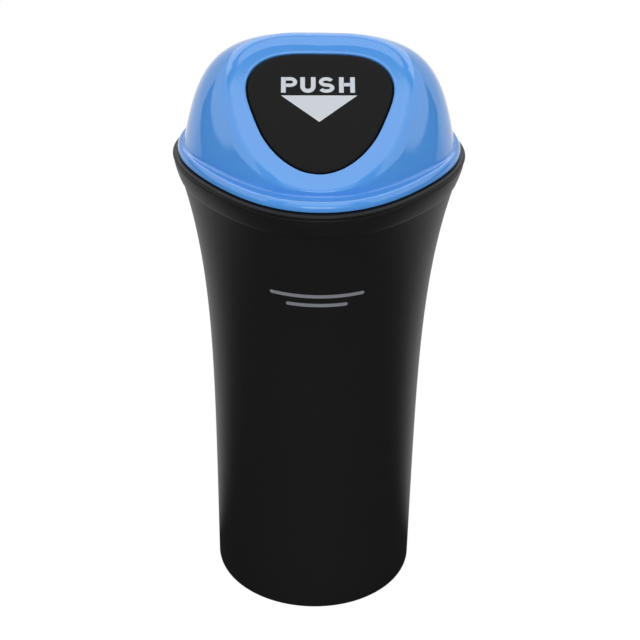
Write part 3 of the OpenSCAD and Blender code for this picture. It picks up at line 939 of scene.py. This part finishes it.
def area_light(name, place, target, size, power):
    """A rectangular softbox at place, turned towards target."""
    light = bpy.data.lights.new(name, "AREA")
    light.shape = "RECTANGLE"
    light.size, light.size_y = size
    light.energy = power
    lamp = new_object(name, light)
    back = np.asarray(place, float) - np.asarray(target, float)
    back /= np.linalg.norm(back)
    across = np.cross([0, 0, 1], back)
    across = across / np.linalg.norm(across) if np.linalg.norm(across) > 1e-6 else np.array([1.0, 0, 0])
    up = np.cross(back, across)
    turn = np.eye(4)
    turn[:3, 0], turn[:3, 1], turn[:3, 2], turn[:3, 3] = across, up, back, place
    lamp.matrix_world = Matrix(turn.tolist())


def card_material(name, glow):
    """A plain card: white ones glow, a black one gives nothing back."""
    material, _, shader = nodes_of(name)
    shader.inputs["Base Color"].default_value = (0.01, 0.01, 0.01, 1)
    shader.inputs["Specular IOR Level"].default_value = 0.0
    shader.inputs["Emission Color"].default_value = (1, 1, 1, 1)
    shader.inputs["Emission Strength"].default_value = glow
    return material


def sheet(name, corners, material):
    """A flat sheet between its corners."""
    mesh = bpy.data.meshes.new(name)
    mesh.from_pydata(corners, [], [list(range(len(corners)))])
    mesh.materials.append(material)
    return new_object(name, mesh)


def card(name, corners, material):
    """A flat studio card that shows in reflections only, neither to the camera nor as a shadow."""
    made = sheet(name, corners, material)
    made.visible_camera = made.visible_diffuse = made.visible_transmission = made.visible_shadow = False


def build_studio(scene):
    """Pale floor, a white world for what the camera and the gloss see, cards, softboxes and the photograph's camera."""
    reach, below = 3.0, -0.00005
    floor = sheet("studio_floor",
                  [(-reach, -reach, below), (reach, -reach, below), (reach, reach, below), (-reach, reach, below)],
                  backdrop_material("studio_white", 0.08, 1.045))

    world = bpy.data.worlds.new("studio_world")
    scene.world = world
    world.use_nodes = True
    tree = world.node_tree
    background = tree.nodes["Background"]
    background.inputs["Color"].default_value = (1, 1, 1, 1)
    seen = either_ray(tree, "Is Camera Ray", "Is Transmission Ray", "Is Glossy Ray")
    level = node(tree, "ShaderNodeMapRange", **{"Value": seen, "To Min": 0.45, "To Max": 1.0})
    tree.links.new(level.outputs["Result"], background.inputs["Strength"])

    # Black flags and white cards stand round the object as in a studio, seen in its gloss only
    black, white = card_material("card_black", 0.0), card_material("card_white", 1.4)
    bright = card_material("card_bright", 3.4)
    flag_side = ((-0.8, -0.02), (0.16, -0.02), (0.36, 0.17), (0.36, 1.3), (-0.8, 1.3))
    card_side = ((-0.35, 0.1), (0.05, 0.1), (0.13, 0.21), (0.36, 0.42), (0.36, 0.85), (-0.35, 0.85))
    for side, hand in ((-1, "left"), (1, "right")):
        card(hand + "_flag", [(side * 0.62, y, z) for y, z in flag_side], black)
        card(hand + "_card", [(side * 0.5, y, z) for y, z in card_side], white)
    for name, half, near, far, material in (("ceiling_flag", 0.6, (0.0, 0.82), (0.07, 0.82), black),
                                            ("ceiling_card", 0.5, (0.09, 0.82), (0.9, 0.6), bright)):
        card(name, [(-half, *near), (half, *near), (half, *far), (-half, *far)], material)

    area_light("overhead_softbox", (0.0, -0.38, 0.8), (0, -0.38, 0), (1.0, 0.76), 3.2)
    area_light("front_softbox", (0.0, -1.1, 0.3), (0, 0, 0.1), (0.7, 0.4), 2.8)

    camera = bpy.data.cameras.new("photo_camera")
    camera.sensor_width = SENSOR_WIDTH
    camera.lens = SENSOR_WIDTH * PHOTO_FOCAL / PHOTO_WIDTH
    camera.shift_x = (PHOTO_WIDTH / 2 - PHOTO_AXIS_X) / PHOTO_WIDTH
    camera.clip_start = 0.01
    eye = new_object("photo_camera", camera)
    pitch, roll, distance, look = math.radians(29.264), math.radians(0.826), 0.5, 0.0909
    eye.matrix_world = (Matrix.Translation((0, -distance * math.cos(pitch), look + distance * math.sin(pitch)))
                        @ Matrix.Rotation(math.pi / 2 - pitch, 4, "X") @ Matrix.Rotation(roll, 4, "Z"))
    scene.camera = eye
    scene.view_settings.view_transform = "Standard"


def register():
    """Registers the classes and puts the settings on the scene."""
    for item in CLASSES:
        bpy.utils.register_class(item)
    bpy.types.Scene.bin_sizes = bpy.props.PointerProperty(type=BinSizes)
    bpy.types.Scene.bin_finishes = bpy.props.PointerProperty(type=BinFinishes)


def unregister():
    """Takes the settings and the classes away again."""
    del bpy.types.Scene.bin_finishes
    del bpy.types.Scene.bin_sizes
    for item in reversed(CLASSES):
        bpy.utils.unregister_class(item)


def main():
    """Builds every piece and the studio."""
    register()
    bpy.ops.litterbin.body()
    bpy.ops.litterbin.lid()
    bpy.ops.litterbin.flap()
    bpy.ops.litterbin.hinge()
    bpy.ops.litterbin.print()
    bpy.ops.litterbin.studio()


if __name__ == "__main__":
    main()
